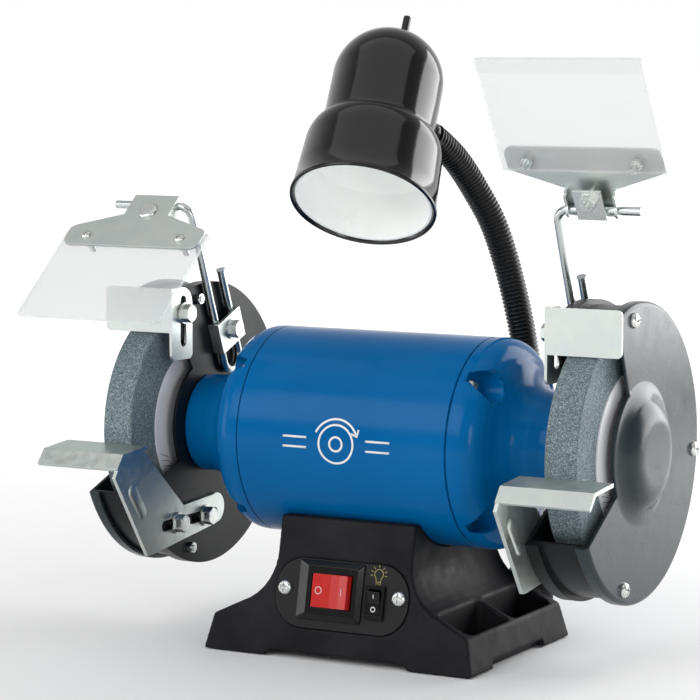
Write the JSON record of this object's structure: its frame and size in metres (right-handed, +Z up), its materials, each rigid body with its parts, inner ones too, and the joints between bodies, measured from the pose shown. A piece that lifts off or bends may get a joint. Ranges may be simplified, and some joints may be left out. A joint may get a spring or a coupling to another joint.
{
  "type": "bench grinder",
  "caption": "Double-ended electric bench grinder with guarded abrasive wheels, sliding tool rests, spark deflectors, tilting eye shields and a gooseneck work lamp.",
  "frame": {"origin": "on the table, at the centre of the base's bolt pattern", "axes": "+X along the shaft to the operator's right, -Y towards the operator, +Z up"},
  "size_m": [0.399, 0.202, 0.3844],
  "materials": {
    "base_paint": "textured charcoal paint",
    "motor_blue": "gloss enamel",
    "guard_black": "satin black paint",
    "cover_grey": "satin grey paint",
    "zinc": "bright zinc plate",
    "steel": "turned steel",
    "core_steel": "laminated",
    "copper": "varnished winding",
    "abrasive": "vitrified grit",
    "label_card": "printed card",
    "rubber": "matt",
    "black_plastic": "gloss",
    "panel_plastic": "satin",
    "rocker_red": "gloss",
    "clear_plastic": "clear",
    "neck_plastic": "satin black",
    "shade_black": "gloss black",
    "liner_white": "white",
    "cream_plastic": "cream",
    "bulb_glass": "opal",
    "can_metal": "drawn can"
  },
  "bodies": {
    "housing": {"base_casting": "base_paint", "base_plate": "steel", "base_plate_screws": "steel", "rubber_feet": "rubber", "control_panel": "panel_plastic", "panel_screws": "zinc", "main_switch_frame": "black_plastic", "lamp_switch_frame": "black_plastic", "cable_gland": "panel_plastic", "capacitor": "can_metal", "terminal_block": "cream_plastic", "motor_shell": "motor_blue", "end_bell_left": "motor_blue", "end_bell_right": "motor_blue", "tie_screws": "zinc", "stator_core": "core_steel", "stator_windings": "copper", "bearings": "steel", "guard_left": "guard_black", "guard_right": "guard_black", "guard_screws": "zinc", "cover_left": "cover_grey", "cover_right": "cover_grey", "cover_screws": "zinc", "guard_bolts": "zinc", "rod_clamps": "zinc", "neck_ferrule": "neck_plastic"},
    "spindle": {"rotor": "core_steel", "cooling_fan": "black_plastic", "shaft": "steel", "inner_flanges": "steel", "outer_flanges": "steel", "wheel_blotters": "label_card", "wheel_left": "abrasive", "wheel_right": "abrasive", "spindle_nuts": "zinc"},
    "main_rocker": {"main_rocker": "rocker_red"},
    "lamp_rocker": {"lamp_rocker": "black_plastic"},
    "deflector_left": {"deflector_left": "zinc"},
    "deflector_right": {"deflector_right": "zinc"},
    "tool_rest_left": {"tool_rest_left": "zinc"},
    "tool_rest_right": {"tool_rest_right": "zinc"},
    "rod_left": {"shield_rod_left": "zinc"},
    "rod_right": {"shield_rod_right": "zinc"},
    "eye_shield_left": {"shield_bracket_left": "zinc", "shield_left": "clear_plastic", "shield_screws_left": "zinc"},
    "eye_shield_right": {"shield_bracket_right": "zinc", "shield_right": "clear_plastic", "shield_screws_right": "zinc"},
    "neck_base": {"neck_base": "neck_plastic"},
    "neck_1": {"neck_link_1": "neck_plastic"},
    "neck_2": {"neck_link_2": "neck_plastic"},
    "neck_3": {"neck_link_3": "neck_plastic"},
    "neck_4": {"neck_link_4": "neck_plastic"},
    "lamp_head": {"lamp_shade": "shade_black", "lamp_reflector": "liner_white", "lamp_holder": "cream_plastic", "lamp_bulb": "bulb_glass"}
  },
  "joints": [
    {"name": "spindle_spin", "type": "hinge", "parent": "housing", "child": "spindle", "pos_m": [0, 0, 0.129], "axis": [1, 0, 0], "continuous": true},
    {"name": "main_rocker_tip", "type": "hinge", "parent": "housing", "child": "main_rocker", "pos_m": [-0.0043, -0.06087, 0.04165], "axis": [0, 0.2051, 0.9787], "range_deg": [0, 16]},
    {"name": "lamp_rocker_tip", "type": "hinge", "parent": "housing", "child": "lamp_rocker", "pos_m": [0.024, -0.06163, 0.03803], "axis": [-1, 0, 0], "range_deg": [0, 16]},
    {"name": "deflector_slide_left", "type": "slide", "parent": "housing", "child": "deflector_left", "axis": [0, 0, 1], "range_m": [0, 0.01]},
    {"name": "deflector_slide_right", "type": "slide", "parent": "housing", "child": "deflector_right", "axis": [0, 0, 1], "range_m": [0, 0.01]},
    {"name": "tool_rest_slide_left", "type": "slide", "parent": "housing", "child": "tool_rest_left", "axis": [0, -1, 0], "range_m": [0, 0.012]},
    {"name": "tool_rest_slide_right", "type": "slide", "parent": "housing", "child": "tool_rest_right", "axis": [0, -1, 0], "range_m": [0, 0.012]},
    {"name": "rod_slide_left", "type": "slide", "parent": "housing", "child": "rod_left", "axis": [0, -0.3714, 0.9285], "range_m": [-0.004, 0.012]},
    {"name": "rod_slide_right", "type": "slide", "parent": "housing", "child": "rod_right", "axis": [0, -0.3714, 0.9285], "range_m": [-0.004, 0.012]},
    {"name": "shield_tilt_left", "type": "hinge", "parent": "rod_left", "child": "eye_shield_left", "pos_m": [-0.1485, -0.02785, 0.26664], "axis": [1, 0, 0], "range_deg": [-135, 0]},
    {"name": "shield_tilt_right", "type": "hinge", "parent": "rod_right", "child": "eye_shield_right", "pos_m": [0.1485, -0.03008, 0.27221], "axis": [1, 0, 0], "range_deg": [-38, 97]},
    {"name": "neck_turn", "type": "hinge", "parent": "housing", "child": "neck_base", "pos_m": [0.062, 0.074, 0.04], "axis": [0, 0, 1], "range_deg": [-25, 12]},
    {"name": "neck_bend_1", "type": "hinge", "parent": "neck_base", "child": "neck_1", "pos_m": [0.062, 0.074, 0.15], "axis": [0.8, -0.6, 0], "range_deg": [-7, 7]},
    {"name": "neck_bend_2", "type": "hinge", "parent": "neck_1", "child": "neck_2", "pos_m": [0.051, 0.072, 0.21], "axis": [0.8, -0.6, 0], "range_deg": [-7, 7]},
    {"name": "neck_bend_3", "type": "hinge", "parent": "neck_2", "child": "neck_3", "pos_m": [0.04, 0.062, 0.256], "axis": [0.8, -0.6, 0], "range_deg": [-7, 7]},
    {"name": "neck_bend_4", "type": "hinge", "parent": "neck_3", "child": "neck_4", "pos_m": [0.029, 0.045, 0.288], "axis": [0.8, -0.6, 0], "range_deg": [-7, 7]},
    {"name": "lamp_tilt", "type": "hinge", "parent": "neck_4", "child": "lamp_head", "pos_m": [0.024, 0.027, 0.304], "axis": [0.8, -0.6, 0], "range_deg": [-14, 14]}
  ],
  "couplings": [
    {"joint": "neck_bend_2", "follows": "neck_bend_1", "ratio": 1},
    {"joint": "neck_bend_3", "follows": "neck_bend_1", "ratio": 1},
    {"joint": "neck_bend_4", "follows": "neck_bend_1", "ratio": 1}
  ]
}
